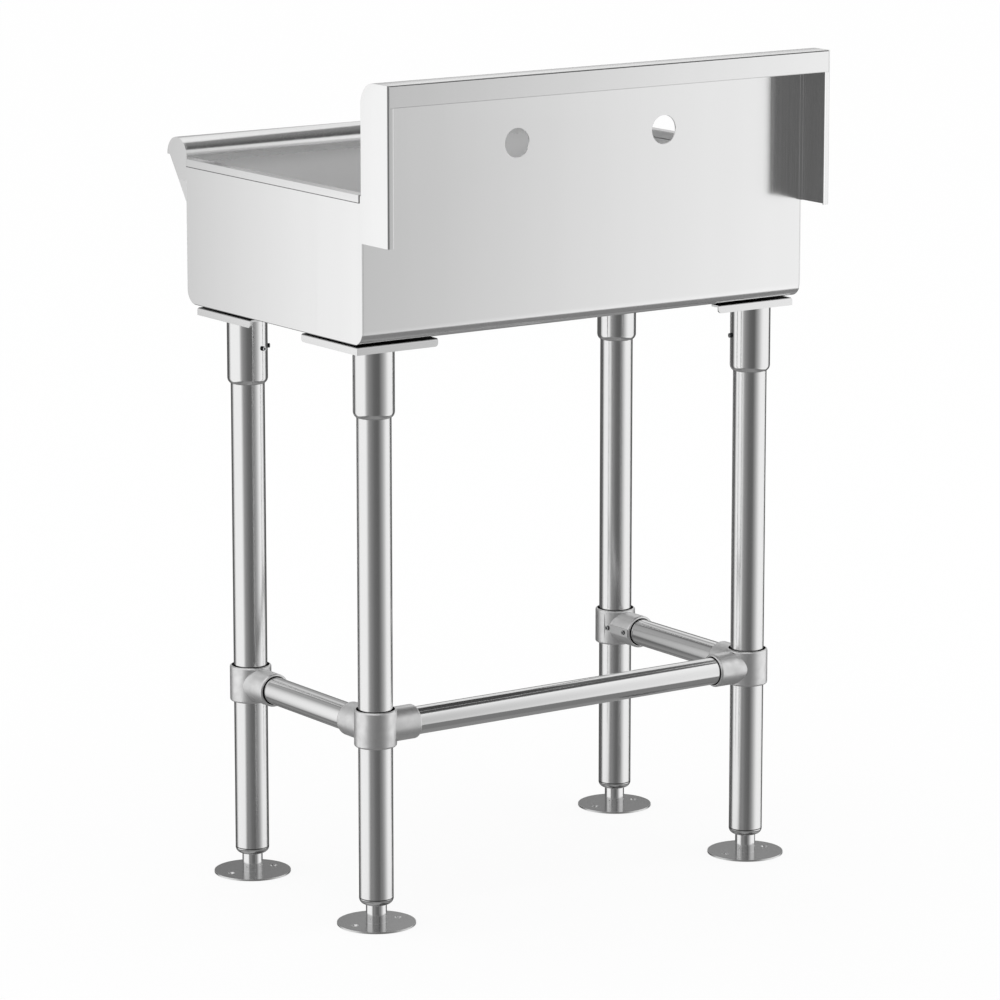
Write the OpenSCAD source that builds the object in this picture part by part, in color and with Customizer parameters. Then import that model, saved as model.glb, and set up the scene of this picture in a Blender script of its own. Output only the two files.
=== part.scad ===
// Free-standing utility laundry sink: a folded sheet bowl with a rolled front rim and a tall
// splash, on four tube legs with a cross-rail stand and adjustable flanged feet.
// Millimetres. +X is the user's right, +Y is the wall side, +Z is up.
// The origin is on the floor under the middle of the sink's bounding box.

/* [Sink] */
// Width over the two end panels
sink_w = 609.6; // [480:0.1:900]
// Height of the rolled front rim above the floor
rim_h = 863.6; // [820:0.1:940]
// Height of the bowl's underside above the floor
bowl_base_h = 672.6; // [600:0.1:740]
// Depth of the bowl, outside, from front wall to rear wall
bowl_d = 368; // [320:1:640]
// Thickness of the stainless sheet
sheet = 1.6; // [1.2:0.1:2.5]
// Outer radius of the bends between the floor and the front and rear walls
floor_bend_r = 17; // [8:0.5:40]
// Outer radius of the rolled front rim
roll_r = 21.5; // [14:0.5:26]
// How far behind the rim's front the sloped edge of an end panel begins
apron_step = 5.5; // [2:0.5:10]
// How far the sloped edge of an end panel drops below the middle of the roll
apron_drop = 52; // [30:1:80]

/* [Splash] */
// Height of the top of the splash above the floor
splash_h = 965.2; // [900:0.1:1100]
// Depth of the splash from its front face to the wall
splash_d = 53.2; // [40:0.1:80]
// Outer radius of the bend along the splash's front top edge
splash_bend_r = 25.4; // [10:0.1:30]
// Height of the turned-down lip along the splash's rear top edge
splash_lip = 25; // [12:0.5:50]
// Height at which the splash's side returns start, as a share of the way from the bowl's
// underside to the top of the splash
return_share = 0.391; // [0.2:0.001:0.5]
// Depth of the flange turned back along each side of the splash
splash_flange = 7.4; // [4:0.1:12]
// Width of the strip turned inward along each side return
return_strip = 8; // [5:0.5:20]
// Outer radius of the tight bends of the splash
lip_bend_r = 2.6; // [2.6:0.1:6]

/* [Tap holes] */
// Diameter of the tap holes
tap_hole_d = 33; // [20:0.5:38]
// Distance between the tap holes
tap_centres = 203.2; // [100:0.1:220]
// Distance of the tap holes below the top of the splash
tap_drop = 82.4; // [60:0.1:90]
// Sideways shift of the pair of tap holes from the middle, to the user's right
tap_shift = -4; // [-20:0.5:20]

/* [Drain] */
// Diameter of the drain opening
drain_d = 89; // [50:0.5:92]
// Width of the flat seat round the drain opening
drain_seat = 7; // [4:0.5:15]
// Depth of the pressed recess round the drain opening
drain_recess = 8; // [4:0.5:12]
// Sideways run of the recess's sloped wall
drain_slope = 6; // [3:0.5:12]

/* [Ledge caps] */
// Height of the top of the side ledges above the floor
ledge_h = 840.5; // [810:0.1:841]
// Width of a ledge cap
cap_w = 12.7; // [8:0.1:25]
// Height of a cap's turned-down lips
cap_lip = 9.5; // [6:0.1:20]
// Thickness of a cap's sheet
cap_sheet = 1; // [0.8:0.1:1.5]
// Gap between a cap's rear end and the splash
cap_gap = 3.3; // [1:0.1:8]

/* [Gusset plates] */
// Length of a gusset's outer edge along the front or rear wall
gusset_arm_x = 107.8; // [90:0.1:150]
// Length of a gusset's outer edge along the end panel
gusset_arm_y = 114.3; // [90:0.1:150]
// Thickness of a gusset's plate
gusset_sheet = 2.5; // [2:0.1:4]
// Overall height of a gusset with its boss and its turned-down edges
gusset_h = 11.6; // [9:0.1:30]
// Height of the boss above the leg by which a gusset carries the bowl
gusset_boss_h = 2.4; // [1:0.1:4]
// Diameter of that boss
gusset_boss_d = 26; // [15:0.5:40]
// Outer radius of the bends along a gusset's edges
gusset_bend_r = 3; // [2.6:0.1:5]
// Width of the blunt tips of a gusset's plate
gusset_tip = 14; // [8:1:30]
// Radius of the lower corner at the free end of a turned-down edge
gusset_corner_r = 4; // [1:0.5:8]
// Distance of the rear gussets' rear edges from the rear wall
gusset_inset_rear = 12.6; // [2:0.1:14]
// Distance of the front gussets' front edges from the front wall
gusset_inset_front = 19.1; // [10:0.1:22]
// Distance of the gussets' side edges from the end panels
gusset_inset_side = 1.2; // [0:0.1:5]

/* [Legs] */
// Diameter of a leg tube
leg_d = 39.4; // [34:0.1:42]
// Wall of the leg and rail tubes
tube_wall = 1.6; // [1.2:0.1:3]
// Distance of a leg's axis from the end panel
leg_inset_side = 41.3; // [36:0.1:60]
// Distance of a front leg's axis from the front wall
leg_inset_front = 62.9; // [56:0.1:90]
// Distance of a rear leg's axis from the rear wall
leg_inset_rear = 40.5; // [39:0.1:60]
// Height of a leg tube's lower end above the floor
leg_base_h = 31.6; // [28:0.1:50]
// Gap between a leg tube's upper end and the gusset above it
leg_top_gap = 9; // [1:0.5:20]

/* [Leg sockets] */
// Outer diameter of a leg socket
socket_d = 47; // [42:0.1:50]
// Length of a leg socket below its gusset plate
socket_len = 83.4; // [60:0.1:110]
// Radius of the rounded lower edge of a leg socket
socket_edge_r = 8; // [4:0.5:12]
// Distance of the socket's set screws below the gusset plate
socket_screw_drop = 41.4; // [20:0.1:60]
// Angle between the two set screws of a socket
socket_screw_angle = 55; // [40:1:90]
// How far a socket's set screw stands out
socket_screw_out = 3; // [1:0.1:5]

/* [Cross rails] */
// Diameter of a cross rail
rail_d = 32; // [25:0.1:36]
// Height of the cross rails' axes above the floor
rail_h = 229; // [150:0.1:400]

/* [Rail fittings] */
// Outer diameter of a fitting's sleeve
sleeve_d = 48.5; // [47:0.1:56]
// Length of a fitting's sleeve
sleeve_len = 42.5; // [42:0.1:70]
// Radial gap between a leg and a fitting's sleeve
sleeve_gap = 2.2; // [0.5:0.1:2.6]
// Outer diameter of a fitting's arm
arm_d = 39.2; // [37:0.1:42]
// Distance of a tee's arm mouth from the leg's axis
tee_reach = 53.4; // [45:0.1:80]
// Distance of a corner fitting's arm mouths from the leg's axis
corner_reach = 51.3; // [45:0.1:80]
// Radial gap between a rail and a fitting's arm
arm_gap = 0.8; // [0.4:0.1:1.6]
// Thickness of metal between the leg's bore and the bottom of an arm's bore
arm_web = 4; // [2:0.5:8]
// Radius of the rounded outer edges of a fitting
fitting_edge_r = 2.4; // [1:0.1:3]
// Height of the flat pad that carries a fitting's set screws
pad_h = 9.8; // [8:0.1:20]
// How far a pad's face stands out beyond its arm
pad_out = 0.7; // [0.2:0.1:3]
// Distance of a pad's end from the arm's mouth
pad_end_gap = 1.2; // [0.5:0.1:4]
// Distance of the leg's set screw from the leg's axis, along the arm
leg_screw_reach = 12.4; // [10:0.1:16]
// How far the leg's set screw stands out beyond the pad's face
leg_screw_out = 2.3; // [0.5:0.1:4]
// Distance of the rail's set screw from the leg's axis
rail_screw_reach = 44.3; // [38:0.1:46]
// How far the rail's set screw stands out of the pad
rail_screw_out = 1.6; // [0.2:0.1:4]

/* [Set screws] */
// Diameter of a set screw
screw_d = 5.3; // [5:0.05:8]
// Size across flats of a set screw's hexagon socket
screw_hex = 2.7; // [2.5:0.1:4]
// Depth of a set screw's hexagon socket
screw_hex_depth = 2.6; // [1:0.1:3]
// Radial clearance between a set screw and its hole
screw_gap = 0.1; // [0.05:0.05:0.3]

/* [Feet] */
// Diameter of a foot's flange
flange_d = 89.8; // [70:0.1:100]
// Thickness of a foot's flange
flange_t = 2; // [2:0.1:6]
// Distance between the two screw holes of a flange
flange_hole_centres = 58.7; // [44:0.1:64]
// Diameter of a flange's screw holes
flange_hole_d = 4.5; // [3:0.1:8]
// Diameter of the countersink of a flange's screw holes
flange_sink_d = 8.4; // [8.2:0.1:12]
// Diameter of a foot's plain stem
stem_d = 23.8; // [20:0.1:28]
// Height of the stem's shoulder above the floor
stem_h = 23.3; // [16:0.1:26]
// Diameter of a foot's threaded stud
stud_d = 15.9; // [12:0.1:18]
// Length of a foot's threaded stud that stays in its insert when the foot is screwed out
stud_grip = 30; // [25:1:40]
// Height of a foot insert inside the leg tube
insert_grip = 35; // [30:1:45]
// Radius of the rounded lower edge of a foot insert
insert_edge_r = 7.2; // [4:0.1:7.6]
// How far a foot can be screwed out
foot_travel = 25; // [10:1:30]

/* [Fits] */
// Radial clearance of a leg tube in its socket
socket_gap = 0.15; // [0.05:0.05:0.3]
// Radial clearance of a foot's stud in its insert
stud_gap = 0.05; // [0.02:0.01:0.1]
// Clearance between a foot's shoulder and its insert when screwed home
seat_gap = 0.2; // [0.1:0.1:0.5]

/* [Hidden] */
$fn = 96;
// Every cut runs this far past the face that it opens
over = sheet;

// Places along Y: the splash's rear edge and the roll's front are equally far from the middle
roll_over = 2 * roll_r - sheet;
sink_d = roll_over + bowl_d - sheet + splash_d;
front_y = -sink_d / 2;
face_y = front_y + roll_over;
back_y = face_y + bowl_d;
splash_y = back_y - sheet;
wall_y = sink_d / 2;
roll_y = front_y + roll_r;

// Heights
roll_z = rim_h - roll_r;
bend_z = splash_h - splash_bend_r;
lip_z = splash_h - splash_lip;
tap_z = splash_h - tap_drop;
return_h = bowl_base_h + return_share * (splash_h - bowl_base_h);
panel_top = ledge_h - cap_sheet;

// Inner faces of the end panels
inner_w = sink_w - 2 * sheet;
end_x = sink_w / 2;

// Drain recess
drain_y = face_y + bowl_d / 2;
drain_r = drain_d / 2;
recess_low_r = drain_r + drain_seat;
recess_top_r = recess_low_r + drain_slope;

// Legs and sockets
leg_x = end_x - leg_inset_side;
leg_r = leg_d / 2;
leg_bore_r = leg_r - tube_wall;
socket_r = socket_d / 2;
gusset_top = bowl_base_h - gusset_boss_h;
gusset_under = gusset_top - gusset_sheet;
pan_h = gusset_h - gusset_boss_h;
leg_top = gusset_under - leg_top_gap;
socket_base = gusset_under - socket_len;
socket_bore_r = leg_r + socket_gap;
socket_screw_z = gusset_under - socket_screw_drop;
screw_r = screw_d / 2;

// Rails and fittings
rail_r = rail_d / 2;
sleeve_r = sleeve_d / 2;
sleeve_bore_r = leg_r + sleeve_gap;
arm_r = arm_d / 2;
arm_bore_r = rail_r + arm_gap;
arm_bore_start = sleeve_bore_r + arm_web;
rail_seat_gap = sheet / 2;
rail_start = arm_bore_start + rail_seat_gap;
pad_face = arm_r + pad_out;

// Feet
flange_r = flange_d / 2;
stem_r = stem_d / 2;
stud_r = stud_d / 2;
stud_len = foot_travel + stud_grip;
stud_bore_r = stud_r + stud_gap;
insert_base = stem_h + seat_gap;
insert_top = leg_base_h + insert_grip;
flange_sink_depth = (flange_sink_d - flange_hole_d) / 2;

// Corners of the stand: the first sign is the side, the second is front (-1) or rear (1)
SIDES = [-1, 1];
ENDS = [-1, 1];

// Y of a leg's axis, of a gusset's outer edge, and the way inward, for front (-1) or rear (1)
function leg_y(end) = end > 0 ? back_y - leg_inset_rear : face_y + leg_inset_front;
function gusset_y(end) = end > 0 ? back_y - gusset_inset_rear : face_y + gusset_inset_front;

// Angle from +X of the way to the middle of the stand, seen from one corner
function inward_angle(side, end) = atan2(-end, -side);

// Colours
module brushed_sheet() { color([0.80, 0.81, 0.82]) children(); }
module tube_steel() { color([0.70, 0.71, 0.73]) children(); }
module cast_metal() { color([0.62, 0.63, 0.64]) children(); }
module dark_screw() { color([0.18, 0.18, 0.19]) children(); }

// A profile drawn in Y and Z, drawn out along X and centred on it
module along_x(length) {
    translate([-length / 2, 0, 0])
        rotate([90, 0, 90])
            linear_extrude(height = length)
                children();
}

// What a rounded corner of radius r takes off a square one at the origin, with metal to +X and +Y
module corner_off(r) {
    difference() {
        translate([-over, -over]) square([r + over, r + over]);
        translate([r, r]) circle(r);
    }
}

// A quarter of a bend round the origin, in the quarter that the two signs name
module bend_quarter(r, thickness, sign_x, sign_y) {
    intersection() {
        difference() {
            circle(r);
            circle(r - thickness);
        }
        translate([sign_x > 0 ? 0 : -r, sign_y > 0 ? 0 : -r]) square([r, r]);
    }
}

// The bowl's outline in Y and Z, inset by k, up to the height top
module tub_outline(k, top) {
    difference() {
        translate([face_y + k, bowl_base_h + k])
            square([bowl_d - 2 * k, top - bowl_base_h - k]);
        translate([face_y + k, bowl_base_h + k])
            corner_off(floor_bend_r - k);
        translate([back_y - k, bowl_base_h + k])
            mirror([1, 0]) corner_off(floor_bend_r - k);
    }
}

// Front wall, floor and rear wall as one folded sheet, with the half roll on the front wall
module tub_sheet() {
    difference() {
        tub_outline(0, roll_z);
        tub_outline(sheet, roll_z + over);
    }
    translate([roll_y, roll_z]) {
        bend_quarter(roll_r, sheet, 1, 1);
        bend_quarter(roll_r, sheet, -1, 1);
    }
}

// The splash above the rear wall, with its front top bend and the flange back to the wall
module splash_sheet() {
    translate([splash_y, roll_z])
        square([sheet, bend_z - roll_z]);
    translate([splash_y + splash_bend_r, bend_z])
        bend_quarter(splash_bend_r, sheet, -1, 1);
    translate([splash_y + splash_bend_r, splash_h - sheet])
        square([splash_d - splash_bend_r - lip_bend_r, sheet]);
}

// The lip turned down along the wall
module lip_sheet() {
    translate([wall_y - lip_bend_r, splash_h - lip_bend_r])
        bend_quarter(lip_bend_r, sheet, 1, 1);
    translate([wall_y - sheet, lip_z])
        square([sheet, splash_lip - lip_bend_r]);
}

// The flange turned back along one side of the splash, flat against the side return
module splash_side_flange(side) {
    translate([side * (inner_w - sheet) / 2 - sheet / 2, splash_y, return_h])
        cube([sheet, splash_flange, bend_z - return_h]);
}

// The pressed recess round the drain opening
module drain_dish() {
    translate([0, drain_y, bowl_base_h])
        rotate_extrude()
            polygon([
                [drain_r, -drain_recess],
                [recess_low_r + sheet, -drain_recess],
                [recess_top_r + sheet, 0],
                [recess_top_r + sheet, sheet],
                [recess_top_r, sheet],
                [recess_low_r, sheet - drain_recess],
                [drain_r, sheet - drain_recess]
            ]);
}

module tap_holes() {
    for (side = SIDES)
        translate([tap_shift + side * tap_centres / 2, splash_y - over, tap_z])
            rotate([-90, 0, 0])
                cylinder(d = tap_hole_d, h = sheet + 2 * over);
}

module bowl_wrap() {
    brushed_sheet() {
        difference() {
            union() {
                along_x(inner_w) tub_sheet();
                along_x(inner_w) splash_sheet();
                along_x(sink_w - 2 * lip_bend_r) lip_sheet();
            }
            tap_holes();
            translate([0, drain_y, bowl_base_h - over])
                cylinder(r = recess_top_r, h = sheet + 2 * over);
        }
        for (side = SIDES) splash_side_flange(side);
        drain_dish();
    }
}

// Flat outline of an end panel: bowl side, roll end, apron and the splash's side return
module end_outline() {
    difference() {
        union() {
            translate([face_y, bowl_base_h])
                square([bowl_d, panel_top - bowl_base_h]);
            translate([face_y, panel_top])
                square([sheet, roll_z - panel_top]);
            translate([roll_y, roll_z]) {
                intersection() {
                    circle(roll_r);
                    translate([-roll_r, 0]) square([2 * roll_r, roll_r]);
                }
            }
            polygon([
                [front_y + apron_step, roll_z],
                [face_y + sheet, roll_z],
                [face_y + sheet, roll_z - apron_drop],
                [face_y, roll_z - apron_drop]
            ]);
            translate([splash_y, return_h])
                square([splash_d - lip_bend_r, splash_h - return_h]);
        }
        translate([face_y, bowl_base_h])
            corner_off(floor_bend_r);
        translate([back_y, bowl_base_h])
            mirror([1, 0]) corner_off(floor_bend_r);
        translate([splash_y, splash_h])
            mirror([0, 1]) corner_off(splash_bend_r);
    }
}

// The strip turned inward along the rear edge of the right-hand side return
module return_edge() {
    translate([0, 0, return_h])
        linear_extrude(height = splash_h - return_h)
            translate([end_x - lip_bend_r, wall_y - lip_bend_r])
                bend_quarter(lip_bend_r, sheet, 1, 1);
    translate([end_x - return_strip, wall_y - sheet, return_h])
        cube([return_strip - lip_bend_r, sheet, lip_z - return_h]);
}

// The right-hand end panel; side -1 gives the left-hand one
module end_panel(side) {
    brushed_sheet()
        mirror([side > 0 ? 0 : 1, 0, 0]) {
            translate([end_x - sheet / 2, 0, 0])
                along_x(sheet) end_outline();
            return_edge();
        }
}

// Folded channel over the top edge of an end panel, seen along Y
module cap_channel() {
    translate([end_x + cap_sheet - cap_w, ledge_h - cap_lip])
        difference() {
            square([cap_w, cap_lip]);
            translate([cap_sheet, -over])
                square([cap_w - 2 * cap_sheet, cap_lip - cap_sheet + over]);
        }
}

module ledge_cap(side) {
    cap_len = bowl_d - 2 * sheet - cap_gap;
    brushed_sheet()
        mirror([side > 0 ? 0 : 1, 0, 0])
            translate([0, face_y + sheet + cap_len, 0])
                rotate([90, 0, 0])
                    linear_extrude(height = cap_len)
                        cap_channel();
}

// Section of a gusset's pan across a turned-down edge, with the edge at the origin
module gusset_section(k, arm) {
    difference() {
        translate([k, k > 0 ? -pan_h - over : -pan_h])
            square([arm - k, pan_h - k + (k > 0 ? over : 0)]);
        translate([k, -k])
            mirror([0, 1]) corner_off(gusset_bend_r - k);
    }
}

// Both sections crossed, which rounds both outer edges of the pan
module gusset_block(k) {
    intersection() {
        translate([0, gusset_arm_y, 0])
            rotate([90, 0, 0])
                linear_extrude(height = gusset_arm_y)
                    gusset_section(k, gusset_arm_x);
        rotate([90, 0, 90])
            linear_extrude(height = gusset_arm_x)
                gusset_section(k, gusset_arm_y);
    }
}

// Triangular pan with its corner at the origin and its arms along +X and +Y, top face at zero
module gusset_pan() {
    difference() {
        intersection() {
            gusset_block(0);
            translate([0, 0, -pan_h])
                linear_extrude(height = pan_h)
                    polygon([
                        [0, 0],
                        [gusset_arm_x, 0],
                        [gusset_arm_x, gusset_tip],
                        [gusset_tip, gusset_arm_y],
                        [0, gusset_arm_y]
                    ]);
        }
        gusset_block(gusset_sheet);
        for (turn = [0, 1])
            mirror([turn, -turn, 0])
                translate([turn > 0 ? gusset_arm_y : gusset_arm_x, gusset_sheet + over, -pan_h])
                    rotate([90, 0, 0])
                        linear_extrude(height = gusset_sheet + 2 * over)
                            mirror([1, 0]) corner_off(gusset_corner_r);
    }
}

module gusset(side, end) {
    brushed_sheet() {
        translate([side * (end_x - gusset_inset_side), gusset_y(end), gusset_top])
            mirror([side > 0 ? 1 : 0, 0, 0])
                mirror([0, end > 0 ? 1 : 0, 0])
                    gusset_pan();
        at_leg(side, end)
            translate([0, 0, gusset_top])
                cylinder(d = gusset_boss_d, h = gusset_boss_h);
    }
}

// Places its children at one corner's leg axis, on the floor
module at_leg(side, end) {
    translate([side * leg_x, leg_y(end), 0]) children();
}

// Places its children at each set screw of a socket, with +Z pointing outward from the leg
module at_socket_screws(side, end) {
    for (turn = [-1, 1])
        at_leg(side, end)
            translate([0, 0, socket_screw_z])
                rotate([0, 0, inward_angle(side, end) + turn * socket_screw_angle / 2])
                    rotate([0, 90, 0])
                        children();
}

// A socket's half section: a tube whose lower outer edge curves in to the leg
module socket_section() {
    wall = socket_r - socket_bore_r;
    drop = sqrt(pow(socket_edge_r, 2) - pow(socket_edge_r - wall, 2));
    difference() {
        translate([socket_bore_r, socket_base])
            square([wall, socket_len]);
        difference() {
            translate([socket_r - socket_edge_r, socket_base - over])
                square([socket_edge_r + over, drop + over]);
            translate([socket_r - socket_edge_r, socket_base + drop])
                circle(socket_edge_r);
        }
    }
}

module leg_socket(side, end) {
    brushed_sheet()
        difference() {
            at_leg(side, end)
                rotate_extrude()
                    socket_section();
            at_socket_screws(side, end)
                cylinder(r = screw_r + screw_gap, h = socket_r + over);
        }
}

// A set screw along +Z from the height start to the height top, with its hexagon socket
module set_screw(start, top) {
    difference() {
        translate([0, 0, start])
            cylinder(r = screw_r, h = top - start);
        translate([0, 0, top - screw_hex_depth])
            cylinder(r = screw_hex / sqrt(3), h = screw_hex_depth + over, $fn = 6);
    }
}

// The sockets' set screws stop flush with the bore, on the leg's surface
module socket_set_screws() {
    dark_screw()
        for (side = SIDES, end = ENDS)
            difference() {
                at_socket_screws(side, end)
                    set_screw(0, socket_r + socket_screw_out);
                at_leg(side, end)
                    cylinder(r = leg_r, h = leg_top + over);
            }
}

module leg(side, end) {
    tube_steel()
        at_leg(side, end)
            translate([0, 0, leg_base_h])
                difference() {
                    cylinder(r = leg_r, h = leg_top - leg_base_h);
                    translate([0, 0, -over])
                        cylinder(r = leg_bore_r, h = leg_top - leg_base_h + 2 * over);
                }
}

// Half section of a sleeve or arm: radius, length and the rounding of its far outer edge
module round_ended(r, length, edge_r) {
    difference() {
        square([r, length]);
        translate([r, length])
            mirror([1, 0]) mirror([0, 1]) corner_off(edge_r);
    }
}

// Angles of a fitting's arms from +X: one to the other end, and at the rear one to the other side
function arm_angles(side, end) =
    end > 0 ? [-90, side > 0 ? 180 : 0] : [90];

function arm_reach(end) = end > 0 ? corner_reach : tee_reach;

// Side of an arm on which its pad lies, seen along the arm: the stand's middle
function pad_turn(side, end, angle) =
    let (inward = inward_angle(side, end)) sin(inward - angle) > 0 ? 1 : -1;

// Places its children on an arm's axis, with +X along the arm
module at_arm(side, end, angle) {
    at_leg(side, end)
        translate([0, 0, rail_h])
            rotate([0, 0, angle])
                children();
}

// Set screws along an arm, each with its reach and how far it stands out. A fitting holds its
// leg by one screw, on the arm along Y
function pad_screws(angle) = [
    if (abs(angle) == 90) [leg_screw_reach, leg_screw_out],
    [rail_screw_reach, rail_screw_out]
];

// Places its children on an arm's axis at the distance reach, with +Z out through the pad
module at_pad_screw(side, end, angle, reach) {
    at_arm(side, end, angle)
        translate([reach, 0, 0])
            rotate([-90 * pad_turn(side, end, angle), 0, 0])
                children();
}

module fitting_pad(side, end, angle) {
    turn = pad_turn(side, end, angle);
    at_arm(side, end, angle)
        translate([0, turn > 0 ? 0 : -pad_face, -pad_h / 2])
            cube([arm_reach(end) - pad_end_gap, pad_face, pad_h]);
}

module rail_fitting(side, end) {
    cast_metal()
        difference() {
            union() {
                at_leg(side, end)
                    translate([0, 0, rail_h])
                        for (turn = [0, 1])
                            mirror([0, 0, turn])
                                rotate_extrude()
                                    round_ended(sleeve_r, sleeve_len / 2, fitting_edge_r);
                for (angle = arm_angles(side, end)) {
                    at_arm(side, end, angle)
                        rotate([0, 90, 0])
                            rotate_extrude()
                                round_ended(arm_r, arm_reach(end), fitting_edge_r);
                    fitting_pad(side, end, angle);
                }
            }
            at_leg(side, end)
                translate([0, 0, rail_h - sleeve_len / 2 - over])
                    cylinder(r = sleeve_bore_r, h = sleeve_len + 2 * over);
            for (angle = arm_angles(side, end)) {
                at_arm(side, end, angle)
                    translate([arm_bore_start, 0, 0])
                        rotate([0, 90, 0])
                            cylinder(r = arm_bore_r, h = arm_reach(end) - arm_bore_start + over);
                for (screw = pad_screws(angle))
                    at_pad_screw(side, end, angle, screw[0])
                        cylinder(r = screw_r + screw_gap, h = sleeve_r + over);
            }
        }
}

// The fittings' set screws, cut off where they meet the leg or the rail
module rail_set_screws() {
    dark_screw()
        for (side = SIDES, end = ENDS)
            difference() {
                for (angle = arm_angles(side, end), screw = pad_screws(angle))
                    at_pad_screw(side, end, angle, screw[0])
                        set_screw(0, pad_face + screw[1]);
                at_leg(side, end)
                    cylinder(r = leg_r, h = leg_top);
                for (angle = arm_angles(side, end))
                    at_arm(side, end, angle)
                        translate([arm_bore_start, 0, 0])
                            rotate([0, 90, 0])
                                cylinder(r = rail_r, h = arm_reach(end));
            }
}

module rail_tube(length) {
    difference() {
        cylinder(r = rail_r, h = length);
        translate([0, 0, -over])
            cylinder(r = rail_r - tube_wall, h = length + 2 * over);
    }
}

module side_rail(side) {
    length = leg_y(1) - leg_y(-1) - 2 * rail_start;
    tube_steel()
        translate([side * leg_x, leg_y(-1) + rail_start, rail_h])
            rotate([-90, 0, 0])
                rail_tube(length);
}

module rear_rail() {
    length = 2 * (leg_x - rail_start);
    tube_steel()
        translate([-length / 2, leg_y(1), rail_h])
            rotate([0, 90, 0])
                rail_tube(length);
}

// Plug in the leg's lower end with a rounded nose and the threaded bore for the foot
module foot_insert(side, end) {
    tube_steel()
        at_leg(side, end)
            rotate_extrude()
                difference() {
                    union() {
                        translate([0, insert_base])
                            square([leg_bore_r, insert_top - insert_base]);
                        translate([0, insert_base])
                            square([leg_r, leg_base_h - insert_base]);
                    }
                    translate([leg_r, insert_base])
                        mirror([1, 0]) corner_off(insert_edge_r);
                    translate([0, insert_base - over])
                        square([stud_bore_r, insert_top - insert_base + 2 * over]);
                }
}

// Flange, stem and stud turned as one, with two countersunk screw holes in the flange
module foot(side, end) {
    tube_steel()
        at_leg(side, end)
            difference() {
                union() {
                    cylinder(r = flange_r, h = flange_t);
                    cylinder(r = stem_r, h = stem_h);
                    cylinder(r = stud_r, h = stem_h + stud_len);
                }
                for (way = SIDES)
                    translate([way * flange_hole_centres / 2, 0, 0]) {
                        translate([0, 0, -over])
                            cylinder(d = flange_hole_d, h = flange_t + 2 * over);
                        translate([0, 0, flange_t - flange_sink_depth])
                            cylinder(d1 = flange_hole_d, d2 = flange_sink_d + 2 * over,
                                     h = flange_sink_depth + over);
                    }
            }
}

bowl_wrap();
end_panel(-1);  // end_panel_left
end_panel(1);  // end_panel_right
ledge_cap(-1);  // ledge_cap_left
ledge_cap(1);  // ledge_cap_right
gusset(-1, -1);  // gusset_front_left
gusset(1, -1);  // gusset_front_right
gusset(-1, 1);  // gusset_rear_left
gusset(1, 1);  // gusset_rear_right
leg_socket(-1, -1);  // leg_socket_front_left
leg_socket(1, -1);  // leg_socket_front_right
leg_socket(-1, 1);  // leg_socket_rear_left
leg_socket(1, 1);  // leg_socket_rear_right
socket_set_screws();
leg(-1, -1);  // leg_front_left
leg(1, -1);  // leg_front_right
leg(-1, 1);  // leg_rear_left
leg(1, 1);  // leg_rear_right
rail_fitting(-1, -1);  // rail_tee_left
rail_fitting(1, -1);  // rail_tee_right
rail_fitting(-1, 1);  // rail_corner_left
rail_fitting(1, 1);  // rail_corner_right
side_rail(-1);  // side_rail_left
side_rail(1);  // side_rail_right
rear_rail();
rail_set_screws();
foot_insert(-1, -1);  // foot_insert_front_left
foot_insert(1, -1);  // foot_insert_front_right
foot_insert(-1, 1);  // foot_insert_rear_left
foot_insert(1, 1);  // foot_insert_rear_right
foot(-1, -1);  // foot_front_left
foot(1, -1);  // foot_front_right
foot(-1, 1);  // foot_rear_left
foot(1, 1);  // foot_rear_right
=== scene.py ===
"""Looks of the utility laundry sink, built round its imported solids."""

import math

import bpy
from mathutils import Euler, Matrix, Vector


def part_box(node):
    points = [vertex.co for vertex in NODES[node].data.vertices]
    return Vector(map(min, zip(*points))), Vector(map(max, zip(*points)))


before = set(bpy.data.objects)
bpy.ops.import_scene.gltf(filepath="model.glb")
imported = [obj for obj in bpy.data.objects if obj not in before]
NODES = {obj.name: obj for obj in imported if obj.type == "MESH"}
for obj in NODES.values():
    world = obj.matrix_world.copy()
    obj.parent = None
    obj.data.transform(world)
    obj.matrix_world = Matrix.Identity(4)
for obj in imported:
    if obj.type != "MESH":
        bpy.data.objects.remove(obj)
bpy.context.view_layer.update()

MM = 0.001

# Where the zones of the finishes lie, in millimetres; a pair is a lowest and a highest value
BOWL_MIDDLE_Y = -5.1
BOWL_MIDDLE_Z = 790
BOWL_CORNER_R = 16
BOWL_CORE = (1000, 167.2, 100.6)
BOWL_HALF_W = 304
INSIDE_FADE_START = 843
INSIDE_FADE_END = 821
APRON_Y = -188.3
APRON_TOP = 815
UNDERSIDE_Z = 673.4
DRAIN_RECESS_R = 58
WALL_Y = (229, 232)
LIP_SIDE = (-1, 296)
LIP_EDGE_Z = (940, 941.1)
STRIP_SIDE = (296, 298)
STRIP_Z = (700, 940)
CAP_EDGE_Z = 832
GUSSET_TOP_Z = 670.1
RAIL_Z = 229
SLEEVE_BORE_R = 22.2
ARM_BORE_R = 17.1
INSERT_SEAM_Z = (30.7, 31.7)
STEM_R = 12.1
FLANGE_HOLE_OUT = 29.35
FLANGE_SINK_R = 4.3
FLANGE_RIM_R = 44.6
SOCKET_SCREW_END_R = 26.1
RAIL_SCREW_INWARD = (-30, -21.6)
RAIL_SCREW_ALONG_X = (-50, -35)


# Helpers

def linear(hex_colour):
    """An sRGB hex value as the linear colour that a shader takes."""
    parts = [int(hex_colour[i:i + 2], 16) / 255 for i in (1, 3, 5)]
    return [c / 12.92 if c <= 0.04045 else ((c + 0.055) / 1.055) ** 2.4 for c in parts] + [1.0]


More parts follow.
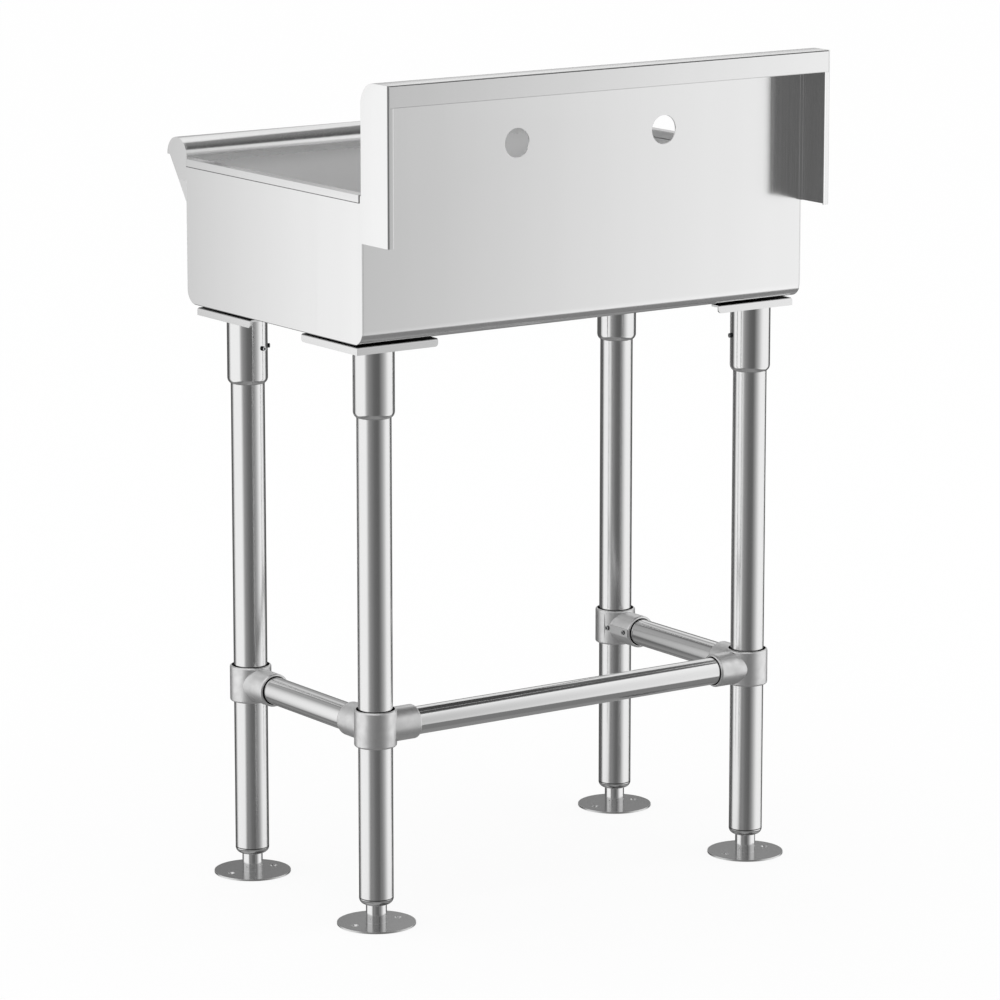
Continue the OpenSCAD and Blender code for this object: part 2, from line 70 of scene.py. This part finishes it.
def add(tree, kind, inputs=None, **settings):
    """Adds a node with its settings. An input is a value, or another node's output to link."""
    node = tree.nodes.new(kind)
    for name, value in settings.items():
        setattr(node, name, value)
    for name, value in (inputs or {}).items():
        if isinstance(value, bpy.types.NodeSocket):
            tree.links.new(value, node.inputs[name])
        else:
            node.inputs[name].default_value = value
    return node


def new_material(name):
    """A metal with its Principled shader and output; returns it with its tree and shader."""
    material = bpy.data.materials.new(name)
    material.use_nodes = True
    tree = material.node_tree
    tree.nodes.clear()
    shader = add(tree, "ShaderNodeBsdfPrincipled", {"Metallic": 1.0})
    add(tree, "ShaderNodeOutputMaterial", {"Surface": shader.outputs["BSDF"]})
    return material, tree, shader


def noise(tree, vector, sizes_mm, detail=2.0):
    """Noise whose features are about sizes_mm long along X, Y and Z."""
    scaled = add(tree, "ShaderNodeVectorMath", {0: vector, 1: [1 / (s * MM) for s in sizes_mm]},
                 operation="MULTIPLY")
    return add(tree, "ShaderNodeTexNoise", {"Vector": scaled.outputs[0], "Scale": 1.0, "Detail": detail})


NOISE_LOW = 0.3
NOISE_HIGH = 0.7


def spread(tree, value, low, high):
    """Maps noise's usual range to low..high."""
    return add(tree, "ShaderNodeMapRange", {
        "Value": value, "From Min": NOISE_LOW, "From Max": NOISE_HIGH,
        "To Min": low, "To Max": high}).outputs[0]


def tint(tree, factor, dark, light):
    """A colour between two sRGB hex values."""
    return add(tree, "ShaderNodeMix", {0: factor, 6: linear(dark), 7: linear(light)},
               data_type="RGBA").outputs[2]


def calc(tree, operation, first, second=0.0):
    """One sum on two numbers."""
    return add(tree, "ShaderNodeMath", {0: first, 1: second}, operation=operation).outputs[0]


def within(tree, value, span):
    """1 where a value lies in a span (low, high) in millimetres, and 0 elsewhere."""
    low, high = span
    return add(tree, "ShaderNodeMath", {0: value, 1: (low + high) / 2 * MM, 2: (high - low) / 2 * MM},
               operation="COMPARE").outputs[0]


def product(tree, first, *others):
    """The product of two or more numbers."""
    for factor in others:
        first = calc(tree, "MULTIPLY", first, factor)
    return first


def part_of(tree, vector, axis):
    """A vector's X, Y or Z."""
    return add(tree, "ShaderNodeSeparateXYZ", {0: vector}).outputs[axis]


def to_side(tree, where):
    """How far a point lies from the middle to either side."""
    return calc(tree, "ABSOLUTE", part_of(tree, where, "X"))


def length(tree, vector, keep):
    """Length of a vector with only the parts that keep names with a 1."""
    flat = add(tree, "ShaderNodeVectorMath", {0: vector, 1: keep}, operation="MULTIPLY")
    return add(tree, "ShaderNodeVectorMath", {0: flat.outputs[0]}, operation="LENGTH").outputs["Value"]


# Deeper than anything, so that folding X and Y leaves Z as it is
DEPTH = 10


def leg_offset(tree, where, height=0.0):
    """The way from the nearest leg's axis at a height, with X and Y counted outward."""
    # The four axes fold onto one: the stand is symmetric in X and about its own middle in Y
    front, rear = (sum(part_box("leg_" + n), Vector()) / 2 for n in ("front_right", "rear_right"))
    middle = Vector((0, (front.y + rear.y) / 2, -DEPTH))
    centred = add(tree, "ShaderNodeVectorMath", {0: where, 1: middle}, operation="SUBTRACT")
    folded = add(tree, "ShaderNodeVectorMath", {0: centred.outputs[0]}, operation="ABSOLUTE")
    axis = Vector((rear.x, (rear.y - front.y) / 2, height + DEPTH))
    return add(tree, "ShaderNodeVectorMath", {0: folded.outputs[0], 1: axis}, operation="SUBTRACT").outputs[0]


def from_leg(tree, where):
    """How far a point lies from the nearest leg's axis."""
    return length(tree, leg_offset(tree, where), (1, 1, 0))


# Zones of a finish: each gives 1 where another colour or roughness takes over, 0 elsewhere

def inside_satin_painted_light(tree, where):
    """The bowl's inside, out to the middle of its sheet, fading out toward the top. Its satin is painted
    lighter there.
    """
    # Distance from the core of a section with round corners, high enough to stay open above
    middle = Vector((0, BOWL_MIDDLE_Y, BOWL_MIDDLE_Z)) * MM
    core = Vector(BOWL_CORE) * MM
    centred = add(tree, "ShaderNodeVectorMath", {0: where, 1: middle}, operation="SUBTRACT")
    away = add(tree, "ShaderNodeVectorMath", {0: centred.outputs[0]}, operation="ABSOLUTE")
    past = add(tree, "ShaderNodeVectorMath", {0: away.outputs[0], 1: core}, operation="SUBTRACT")
    past = add(tree, "ShaderNodeVectorMath", {0: past.outputs[0], 1: (0, 0, 0)}, operation="MAXIMUM")
    inside = calc(tree, "LESS_THAN", length(tree, past.outputs[0], (0, 1, 1)), BOWL_CORNER_R * MM)
    depth = add(tree, "ShaderNodeMapRange", {
        "Value": part_of(tree, where, "Z"), "From Min": INSIDE_FADE_START * MM,
        "From Max": INSIDE_FADE_END * MM, "To Min": 0, "To Max": 1}).outputs[0]
    return product(tree, inside, depth, calc(tree, "LESS_THAN", to_side(tree, where), BOWL_HALF_W * MM))


def front_apron(tree, where):
    """The outer face of the front wall, below the roll."""
    return product(tree, calc(tree, "LESS_THAN", part_of(tree, where, "Y"), APRON_Y * MM),
                   calc(tree, "LESS_THAN", part_of(tree, where, "Z"), APRON_TOP * MM))


def underside_painted_shade(tree, where):
    """The underside of the bowl's floor, without the recess round the drain, painted darker as the shade
    under the bowl.
    """
    drain = (0, BOWL_MIDDLE_Y * MM, 0)
    from_drain = add(tree, "ShaderNodeVectorMath", {0: where, 1: drain}, operation="SUBTRACT")
    beyond = calc(tree, "GREATER_THAN", length(tree, from_drain.outputs[0], (1, 1, 0)), DRAIN_RECESS_R * MM)
    return product(tree, beyond, calc(tree, "LESS_THAN", part_of(tree, where, "Z"), UNDERSIDE_Z * MM))


def in_box(tree, where, side_span, y_span, z_span):
    """1 in a box that is mirrored in X, with its spans in millimetres, and 0 elsewhere."""
    return product(tree, within(tree, to_side(tree, where), side_span),
                   within(tree, part_of(tree, where, "Y"), y_span),
                   within(tree, part_of(tree, where, "Z"), z_span))


def lip_edge_painted_shade(tree, where):
    """The cut edge along the bottom of the splash's rear lip, painted darker as a line of shade."""
    return in_box(tree, where, LIP_SIDE, WALL_Y, LIP_EDGE_Z)


def strip_edge_painted_highlight(tree, where):
    """The inner edges of the strips that are turned inward along the wall, painted white as a highlight."""
    return in_box(tree, where, STRIP_SIDE, WALL_Y, STRIP_Z)


def cap_edge_painted_shadow(tree, where):
    """The cut edges along the bottom of a ledge cap's lips, painted dark as the shadow line under them."""
    return calc(tree, "LESS_THAN", part_of(tree, where, "Z"), CAP_EDGE_Z * MM)


def gusset_top_painted_shadow(tree, where):
    """The top of a gusset, with the boss under the bowl, painted dark as the shadow in the gap under the
    bowl.
    """
    return calc(tree, "GREATER_THAN", part_of(tree, where, "Z"), GUSSET_TOP_Z * MM)


def bores_painted_shade(tree, where):
    """The bores of the rail fittings, for the legs and for the rails along Y and X, painted dark as the shade
    inside them.
    """
    offset = leg_offset(tree, where, RAIL_Z * MM)
    sleeve = calc(tree, "LESS_THAN", length(tree, offset, (1, 1, 0)), SLEEVE_BORE_R * MM)
    arm_y = product(tree, calc(tree, "LESS_THAN", length(tree, offset, (1, 0, 1)), ARM_BORE_R * MM),
                    calc(tree, "LESS_THAN", part_of(tree, offset, "Y")))
    # Only the rear fittings have an arm along X
    arm_x = product(tree, calc(tree, "LESS_THAN", length(tree, offset, (0, 1, 1)), ARM_BORE_R * MM),
                    calc(tree, "LESS_THAN", part_of(tree, offset, "X")),
                    calc(tree, "GREATER_THAN", part_of(tree, where, "Y")))
    return calc(tree, "MAXIMUM", sleeve, calc(tree, "MAXIMUM", arm_y, arm_x))


def insert_seam_painted_shadow(tree, where):
    """The seam where a foot insert enters its leg, painted dark as the shadow in it."""
    return within(tree, part_of(tree, where, "Z"), INSERT_SEAM_Z)


def foot_stem(tree, where):
    """The stem of a foot, with the stud above it."""
    return calc(tree, "LESS_THAN", from_leg(tree, where), STEM_R * MM)


def foot_sinks(tree, where):
    """The countersinks of a flange's two screw holes."""
    away = add(tree, "ShaderNodeVectorMath", {0: leg_offset(tree, where)}, operation="ABSOLUTE")
    hole = (FLANGE_HOLE_OUT * MM, 0, 0)
    away = add(tree, "ShaderNodeVectorMath", {0: away.outputs[0], 1: hole}, operation="SUBTRACT")
    return calc(tree, "LESS_THAN", length(tree, away.outputs[0], (1, 1, 0)), FLANGE_SINK_R * MM)


def foot_rim(tree, where):
    """The rim of a flange."""
    return calc(tree, "GREATER_THAN", from_leg(tree, where), FLANGE_RIM_R * MM)


def socket_screw_ends(tree, where):
    """The outer ends of the sockets' set screws."""
    return calc(tree, "GREATER_THAN", from_leg(tree, where), SOCKET_SCREW_END_R * MM)


def rail_screw_ends(tree, where):
    """The ends of the screws on the arms: along Y they face the middle, along X they face the front."""
    offset = leg_offset(tree, where)
    out_x, out_y = part_of(tree, offset, "X"), part_of(tree, offset, "Y")
    on_y = within(tree, out_x, RAIL_SCREW_INWARD)
    on_x = product(tree, within(tree, out_x, RAIL_SCREW_ALONG_X), within(tree, out_y, RAIL_SCREW_INWARD))
    return calc(tree, "MAXIMUM", on_y, on_x)


def finish(tree, shader, where, colour, blur, zones):
    """Links a colour and a roughness, with those of each zone (mask, sRGB, roughness) laid over them."""
    for mask, zone_colour, zone_blur in zones:
        share = mask(tree, where)
        colour = add(tree, "ShaderNodeMix", {0: share, 6: colour, 7: linear(zone_colour)},
                     data_type="RGBA").outputs[2]
        blur = add(tree, "ShaderNodeMix", {0: share, 2: blur, 3: zone_blur}).outputs[0]
    tree.links.new(colour, shader.inputs["Base Color"])
    tree.links.new(blur, shader.inputs["Roughness"])


# Finishes

# A grinding belt's slow bands are this many scratches wide, and take this share of the colour
BAND_WIDTH = 14
BAND_SHARE = 0.55
# How far a finish's roughness strays to either side
BLUR_STRAY = 0.03
CASTING_BLUR_STRAY = 0.05
# Sizes of the other finishes' patterns, and depths of their relief, in millimetres
PEBBLE = 0.8
PEBBLE_DEPTH = 0.02
PATCH = 9
RING = 0.6
RING_DEPTH = 0.004
WEAR = 1


def ground_sheet(name, grain_mm, dark, light, roughness, grain_depth, zones=()):
    """Stainless sheet ground with a belt: long fine parallel scratches that stretch reflections.
    grain_mm is the size of a scratch along X, Y and Z, drawn coarser than the real 0.1 mm, and
    grain_depth is its depth in millimetres."""
    material, tree, shader = new_material(name)
    where = add(tree, "ShaderNodeTexCoord").outputs["Object"]
    scratches = noise(tree, where, grain_mm, detail=3.0)
    bands = noise(tree, where, [size * BAND_WIDTH for size in grain_mm], detail=1.0)
    both = add(tree, "ShaderNodeMix", {0: BAND_SHARE, 2: scratches.outputs[0], 3: bands.outputs[0]})
    colour = tint(tree, spread(tree, both.outputs[0], 0, 1), dark, light)
    blur = spread(tree, scratches.outputs[0], roughness - BLUR_STRAY, roughness + BLUR_STRAY)
    finish(tree, shader, where, colour, blur, zones)
    bump = add(tree, "ShaderNodeBump", {
        "Height": scratches.outputs[0], "Strength": 1.0, "Distance": grain_depth * MM})
    tree.links.new(bump.outputs[0], shader.inputs["Normal"])
    return material


def die_casting(name, dark, light, roughness):
    """Tumbled die casting: dull silver skin with a fine pebbled grain of about 0.8 mm."""
    material, tree, shader = new_material(name)
    where = add(tree, "ShaderNodeTexCoord").outputs["Object"]
    pebble = noise(tree, where, [PEBBLE] * 3)
    patches = noise(tree, where, [PATCH] * 3)
    # The bores are painted dark, as the shade inside them
    finish(tree, shader, where, tint(tree, spread(tree, patches.outputs[0], 0, 1), dark, light),
           spread(tree, patches.outputs[0], roughness + CASTING_BLUR_STRAY, roughness - CASTING_BLUR_STRAY),
           [(bores_painted_shade, "#3C3C3C", 0.6)])
    bump = add(tree, "ShaderNodeBump", {
        "Height": pebble.outputs[0], "Strength": 1.0, "Distance": PEBBLE_DEPTH * MM})
    tree.links.new(bump.outputs[0], shader.inputs["Normal"])
    return material


def turned_steel(name, dark, light, roughness, zones):
    """Steel turned on a lathe: fine rings about each leg's axis, 0.6 mm apart, drawn coarser than real."""
    material, tree, shader = new_material(name)
    where = add(tree, "ShaderNodeTexCoord").outputs["Object"]
    ring = add(tree, "ShaderNodeCombineXYZ", {0: from_leg(tree, where), 2: part_of(tree, where, "Z")})
    rings = noise(tree, ring.outputs[0], [RING] * 3)
    finish(tree, shader, where, tint(tree, spread(tree, rings.outputs[0], 0, 1), dark, light),
           spread(tree, rings.outputs[0], roughness - BLUR_STRAY, roughness + BLUR_STRAY), zones)
    bump = add(tree, "ShaderNodeBump", {
        "Height": rings.outputs[0], "Strength": 1.0, "Distance": RING_DEPTH * MM})
    tree.links.new(bump.outputs[0], shader.inputs["Normal"])
    return material


def blackened_screw(name, ends):
    """Alloy steel with black oxide: dark, slightly oily, worn lighter in patches of about 1 mm. The
    ends, which ends finds, are lighter."""
    material, tree, shader = new_material(name)
    where = add(tree, "ShaderNodeTexCoord").outputs["Object"]
    wear = noise(tree, where, [WEAR] * 3, detail=3.0)
    finish(tree, shader, where, tint(tree, spread(tree, wear.outputs[0], 0, 1), "#2A2B2D", "#4A4B4D"),
           spread(tree, wear.outputs[0], 0.28, 0.42), [(ends, "#C8C9CA", 0.3)])
    return material


# The front is brushed coarser, the inside is blasted to an even satin and painted lighter, and the underside
# is left as rolled and painted darker as shade; the lip's lower edge is painted shade and the strips' inner
# edges a painted highlight
panel_finish = ground_sheet(
    "stainless_sheet_ground_upright", (2.2, 2.2, 260), "#E6E6E6", "#E8E8E8", 0.17, 0.0006,
    [(front_apron, "#E7E7E7", 0.42), (underside_painted_shade, "#8A8A8A", 0.2), (inside_satin_painted_light, "#EEEEEE", 0.5),
     (lip_edge_painted_shade, "#CDCDCD", 0.2), (strip_edge_painted_highlight, "#FFFFFF", 0.2)])
# The bottoms of the caps' lips are painted dark, as the shadow line under them
ledge_finish = ground_sheet(
    "stainless_sheet_ground_lengthwise", (2.2, 260, 2.2), "#E1E1E1", "#E3E3E3", 0.17, 0.0006,
    [(cap_edge_painted_shadow, "#6E6E6E", 0.3)])
# The top of each gusset is painted dark, as the shadow in the gap under the bowl
gusset_finish = ground_sheet(
    "stainless_plate_ground", (60, 60, 2), "#DFDFDF", "#E2E2E2", 0.2, 0.0008,
    [(gusset_top_painted_shadow, "#2C2C2C", 0.5)])
leg_finish = ground_sheet(
    "stainless_tube_polished_upright", (2, 2, 260), "#DEDEDE", "#E0E0E0", 0.19, 0.0003)
side_rail_finish = ground_sheet(
    "stainless_tube_polished_along_y", (2, 260, 2), "#DEDEDE", "#E0E0E0", 0.1, 0.0003)
rear_rail_finish = ground_sheet(
    "stainless_tube_polished_along_x", (260, 2, 2), "#DEDEDE", "#E0E0E0", 0.1, 0.0003)
socket_finish = ground_sheet(
    "stainless_socket_satin", (2, 2, 160), "#DEDEDE", "#E0E0E0", 0.12, 0.0004)
fitting_finish = die_casting("die_casting_tumbled", "#D6D6D6", "#E0E0E0", 0.4)
insert_finish = turned_steel(
    "steel_turned_and_plated", "#D8D8D8", "#DCDCDC", 0.14, [(insert_seam_painted_shadow, "#5A5A5A", 0.3)])
# The flange is dull; its stem, its rim and the countersinks of its holes are cut bright
foot_finish = turned_steel(
    "steel_turned_dull", "#A8A8A8", "#AFAFAF", 0.2,
    [(foot_stem, "#E2E2E2", 0.12), (foot_sinks, "#D8D8D8", 0.3), (foot_rim, "#D4D4D4", 0.3)])
socket_screw_finish = blackened_screw("steel_black_oxide_socket_screws", socket_screw_ends)
rail_screw_finish = blackened_screw("steel_black_oxide_rail_screws", rail_screw_ends)

FINISHES = {
    "bowl_wrap": panel_finish, "end_panel": panel_finish, "ledge_cap": ledge_finish,
    "gusset": gusset_finish, "leg_socket": socket_finish, "socket_set_screws": socket_screw_finish,
    "leg_front": leg_finish, "leg_rear": leg_finish, "rail_tee": fitting_finish,
    "rail_corner": fitting_finish, "side_rail": side_rail_finish, "rear_rail": rear_rail_finish,
    "rail_set_screws": rail_screw_finish, "foot_insert": insert_finish, "foot_front": foot_finish,
    "foot_rear": foot_finish,
}
# How far the edges of each kind of piece are broken, in millimetres
EDGES = {
    "bowl_wrap": 0.35, "end_panel": 0.7, "ledge_cap": 0.35, "gusset": 0.35, "leg_socket": 0,
    "socket_set_screws": 0, "leg_front": 0.3, "leg_rear": 0.3, "rail_tee": 0.4, "rail_corner": 0.4,
    "side_rail": 0.3, "rear_rail": 0.3, "rail_set_screws": 0, "foot_insert": 0, "foot_front": 0.25,
    "foot_rear": 0.25,
}
# Edges sharper than this are broken
BROKEN_ANGLE = math.radians(50)
# Faces that meet at less than this are shaded as one
SMOOTH_ANGLE = math.radians(30)
# Vertices nearer than this are one vertex, split in the file
WELD = 0.002 * MM


def smooth_faces():
    """A node group that joins a mesh's split vertices and shades it smooth up to SMOOTH_ANGLE."""
    group = bpy.data.node_groups.new("joined_and_smooth", "GeometryNodeTree")
    group.interface.new_socket("Geometry", in_out="INPUT", socket_type="NodeSocketGeometry")
    group.interface.new_socket("Geometry", in_out="OUTPUT", socket_type="NodeSocketGeometry")
    start = add(group, "NodeGroupInput")
    joined = add(group, "GeometryNodeMergeByDistance",
                 {"Geometry": start.outputs[0], "Distance": WELD})
    angle = add(group, "GeometryNodeInputMeshEdgeAngle")
    sharp = add(group, "FunctionNodeCompare",
                {0: angle.outputs["Unsigned Angle"], 1: SMOOTH_ANGLE},
                data_type="FLOAT", operation="GREATER_THAN")
    smooth = add(group, "GeometryNodeSetShadeSmooth", {"Geometry": joined.outputs[0], "Shade Smooth": True})
    normals = add(group, "GeometryNodeSetMeshNormal", {
        "Mesh": smooth.outputs[0], "Remove Custom": True,
        "Edge Sharpness": sharp.outputs[0], "Face Sharpness": False}, mode="SHARPNESS")
    add(group, "NodeGroupOutput", {0: normals.outputs[0]})
    return group


smoothing = smooth_faces()
for name, node in NODES.items():
    kind = max((k for k in FINISHES if name.startswith(k)), key=len)
    node.data.materials.clear()
    node.data.materials.append(FINISHES[kind])
    node.modifiers.new("smooth", "NODES").node_group = smoothing
    if EDGES[kind]:
        bevel = node.modifiers.new("edges", "BEVEL")
        bevel.width = EDGES[kind] * MM
        bevel.segments = 3
        bevel.limit_method = "ANGLE"
        bevel.angle_limit = BROKEN_ANGLE
        bevel.harden_normals = True


# Camera

# Fitted to corners of the sink and the legs as the photograph shows them
YAW = 34.815
PITCH = 11.541
LENS = 179.58
CAMERA_PLACE = (3.2611, 4.6945, 1.6033)
CLIP_START = 0.1
CLIP_END = 60
camera = bpy.data.objects.new("camera", bpy.data.cameras.new("camera"))
bpy.context.scene.collection.objects.link(camera)
camera.data.lens = LENS
camera.data.clip_start = CLIP_START
camera.data.clip_end = CLIP_END
camera.location = CAMERA_PLACE
camera.rotation_euler = Euler((math.radians(90 - PITCH), 0, math.radians(180 - YAW)))
bpy.context.scene.camera = camera


# Studio

TOWARD_CAMERA = math.radians(90 - YAW)


def level_at(levels, angle):
    """The grey at an angle, between the pairs (angle, grey) on either side of it."""
    for (a, grey_a), (b, grey_b) in zip(levels, levels[1:]):
        if angle <= b:
            return grey_a + (grey_b - grey_a) * max(0, angle - a) / (b - a)
    return levels[-1][1]


ARC_STEP = 2


def arc(radius, levels):
    """Points (right, toward, grey) on a circle, ARC_STEP degrees apart. Right is metres to the
    picture's right and toward is metres toward the camera. Angles count from the camera's side to
    the right."""
    first, last = levels[0][0], levels[-1][0]
    steps = round((last - first) / ARC_STEP)
    angles = [first + (last - first) * i / steps for i in range(steps + 1)]
    return [(radius * math.sin(math.radians(a)), radius * math.cos(math.radians(a)), level_at(levels, a))
            for a in angles]


def straight(right, levels):
    """Points (right, toward, grey) on a line along the view, from pairs (toward, grey)."""
    return [(right, toward, grey) for toward, grey in levels]


def evenly(points, grey):
    """The same points with one grey."""
    return [point[:2] + (grey,) for point in points]


def grey_card(name, rows):
    """A card of the studio, seen only in reflections, through rows (height, points) of equal length."""
    points, faces, greys = [], [], []
    heights, lines = zip(*rows)
    for i, column in enumerate(zip(*lines)):
        for j, (right, toward, grey) in enumerate(column):
            points.append((toward * math.cos(TOWARD_CAMERA) - right * math.sin(TOWARD_CAMERA),
                           toward * math.sin(TOWARD_CAMERA) + right * math.cos(TOWARD_CAMERA), heights[j]))
            greys.append(grey)
            if i and j:
                k = i * len(rows) + j
                faces.append((k - len(rows) - 1, k - 1, k, k - len(rows)))
    mesh = bpy.data.meshes.new(name)
    mesh.from_pydata(points, [], faces)
    mesh.attributes.new("grey", "FLOAT", "POINT").data.foreach_set("value", greys)
    material = bpy.data.materials.new(name)
    material.use_nodes = True
    tree = material.node_tree
    tree.nodes.clear()
    grey = add(tree, "ShaderNodeAttribute", attribute_name="grey")
    glow = add(tree, "ShaderNodeEmission", {"Strength": grey.outputs["Fac"]})
    add(tree, "ShaderNodeOutputMaterial", {"Surface": glow.outputs[0]})
    mesh.materials.append(material)
    card = bpy.data.objects.new(name, mesh)
    bpy.context.scene.collection.objects.link(card)
    card.visible_camera = card.visible_diffuse = card.visible_shadow = False


# Where the cards stand, in metres: the side cards' distance from the middle, the radius of the near
# and far cards, and the height at which all of them start
SIDE_CARD_OUT = 1.73
ROUND_CARD_R = 4
CARD_BASE = -2.6
# Two long white cards along the view, one on each side, that darken at their ends
LEFT = straight(-SIDE_CARD_OUT, [
    (-0.88, 0.3), (-0.8, 0.5), (-0.62, 0.7), (-0.52, 0.88), (-0.48, 0.94), (-0.39, 1.06), (-0.3, 1.13),
    (1.52, 1.13), (1.8, 0.87), (2.24, 0.51), (2.83, 0.38), (3.55, 0.32)])
RIGHT = straight(SIDE_CARD_OUT, [
    (-1.32, 0.6), (-1.26, 1.0), (-0.63, 1.13), (0.1, 1.13), (0.37, 1.07), (0.66, 0.93), (0.94, 0.71),
    (1.25, 0.56), (1.56, 0.44), (1.94, 0.35), (2.41, 0.26), (3.06, 0.17), (3.5, 0.15)])
UNDER_SIDES = 0.24
for name, side in (("card_left", LEFT), ("card_right", RIGHT)):
    grey_card(name, [(CARD_BASE, evenly(side, UNDER_SIDES)), (-0.75, evenly(side, UNDER_SIDES)),
                     (-0.62, side), (3.5, side)])
# The dark end of the studio behind the camera, with a bright frieze above it
NEAR = arc(ROUND_CARD_R, [
    (-27, 0.32), (-19, 0.27), (-12, 0.23), (-8, 0.21), (-2, 0.17), (11, 0.145), (23, 0.136), (27, 0.16)])
UNDER_ENDS = 0.3
FRIEZE = 0.95
grey_card("card_near", [
    (CARD_BASE, evenly(NEAR, UNDER_ENDS)), (-1.2, NEAR), (1.2, NEAR), (1.5, evenly(NEAR, FRIEZE)),
    (4, evenly(NEAR, FRIEZE))])
# The far end: dark low down, grey to the height of the rim, above it white on the right and grey
# on the left
FAR = arc(ROUND_CARD_R, [(100, 0.12), (260, 0.12)])
FAR_TOP = arc(ROUND_CARD_R, [
    (100, 0.92), (182, 0.92), (187, 0.4), (191, 0.45), (197, 0.75), (202, 0.75), (206, 0.6), (211, 0.22),
    (222, 0.2), (230, 0.42), (260, 0.5)])
FAR_MIDDLE = 0.3
grey_card("card_far", [
    (CARD_BASE, evenly(FAR, UNDER_ENDS)), (-1.2, FAR), (0.3, FAR), (0.35, evenly(FAR, FAR_MIDDLE)),
    (1.2, evenly(FAR, FAR_MIDDLE)), (1.45, FAR_TOP), (5, FAR_TOP)])
# A dark patch of ceiling over the right-hand half, as pairs (right, grey)
CEILING = [(0.3, 0.25), (0.7, 0.2), (1.0, 0.12), (1.25, 0.07), (1.4, 0.08), (1.65, 0.2), (3, 0.2)]
CEILING_Z = 2.12
grey_card("card_ceiling", [
    (CEILING_Z, straight(right, [(-1.7, grey), (1.1, grey)])) for right, grey in CEILING])
# A grey disc that closes the studio below the floor
DISC_R = 4.7
DISC_Z = -2.5
DISC_EDGE = arc(DISC_R, [(0, UNDER_ENDS), (360, UNDER_ENDS)])
grey_card("card_below", [(DISC_Z, [(0, 0, UNDER_ENDS)] * len(DISC_EDGE)), (DISC_Z, DISC_EDGE)])

LAMP_DISTANCE = 3.5
LAMP_HEIGHT = 2.6
LAMP_SIZE = 3


def softbox(name, angle, radiance):
    """A square lamp that faces the floor under the middle of the object. angle is as for the cards."""
    lamp = bpy.data.lights.new(name, "AREA")
    lamp.size = LAMP_SIZE
    lamp.energy = radiance * math.pi * LAMP_SIZE ** 2
    box = bpy.data.objects.new(name, lamp)
    heading = TOWARD_CAMERA + math.radians(angle)
    box.location = (LAMP_DISTANCE * math.cos(heading), LAMP_DISTANCE * math.sin(heading), LAMP_HEIGHT)
    box.rotation_euler = (-box.location).to_track_quat("-Z", "Y").to_euler()
    box.visible_camera = box.visible_glossy = False
    bpy.context.scene.collection.objects.link(box)


softbox("softbox_left", -82, 0.25)
softbox("softbox_right", 103, 0.2)

# White all round: it lights every colour at the level at which it is written
world = bpy.data.worlds.new("studio")
bpy.context.scene.world = world
world.use_nodes = True
sky = world.node_tree
sky.nodes.clear()
air = add(sky, "ShaderNodeBackground", {"Color": (1, 1, 1, 1), "Strength": 1.0})
add(sky, "ShaderNodeOutputWorld", {"Surface": air.outputs[0]})
# Reflections find the cards in front of it, so no light is drawn from it past them
world.cycles.sampling_method = "NONE"

FLOOR_REACH = 12
# The floor lies a hair below the feet, so that the two faces don't fight
FLOOR_Z = -0.0005
# What sees the floor sees mostly white, with the object's shadow left in it
WHITE_SHARE = 0.85
corners = [(x * FLOOR_REACH, y * FLOOR_REACH, 0) for x, y in ((-1, -1), (1, -1), (1, 1), (-1, 1))]
floor_mesh = bpy.data.meshes.new("floor")
floor_mesh.from_pydata(corners, [], [(0, 1, 2, 3)])
floor = bpy.data.objects.new("floor", floor_mesh)
bpy.context.scene.collection.objects.link(floor)
floor.location.z = FLOOR_Z
floor.visible_glossy = floor.visible_shadow = False
paper = bpy.data.materials.new("white_paper")
paper.use_nodes = True
tree = paper.node_tree
tree.nodes.clear()
matt = add(tree, "ShaderNodeBsdfDiffuse", {"Color": linear("#FBFBFB")})
white = add(tree, "ShaderNodeEmission", {"Strength": 1.0})
ray = add(tree, "ShaderNodeLightPath").outputs
seen = add(tree, "ShaderNodeMath", {0: ray["Is Camera Ray"], 1: ray["Is Glossy Ray"]}, operation="MAXIMUM")
seen = add(tree, "ShaderNodeMath", {0: seen.outputs[0], 1: ray["Is Transmission Ray"]}, operation="MAXIMUM")
share = add(tree, "ShaderNodeMath", {0: seen.outputs[0], 1: WHITE_SHARE}, operation="MULTIPLY")
mixed = add(tree, "ShaderNodeMixShader", {0: share.outputs[0], 1: matt.outputs[0], 2: white.outputs[0]})
add(tree, "ShaderNodeOutputMaterial", {"Surface": mixed.outputs[0]})
floor_mesh.materials.append(paper)

bpy.context.scene.view_settings.view_transform = "Standard"
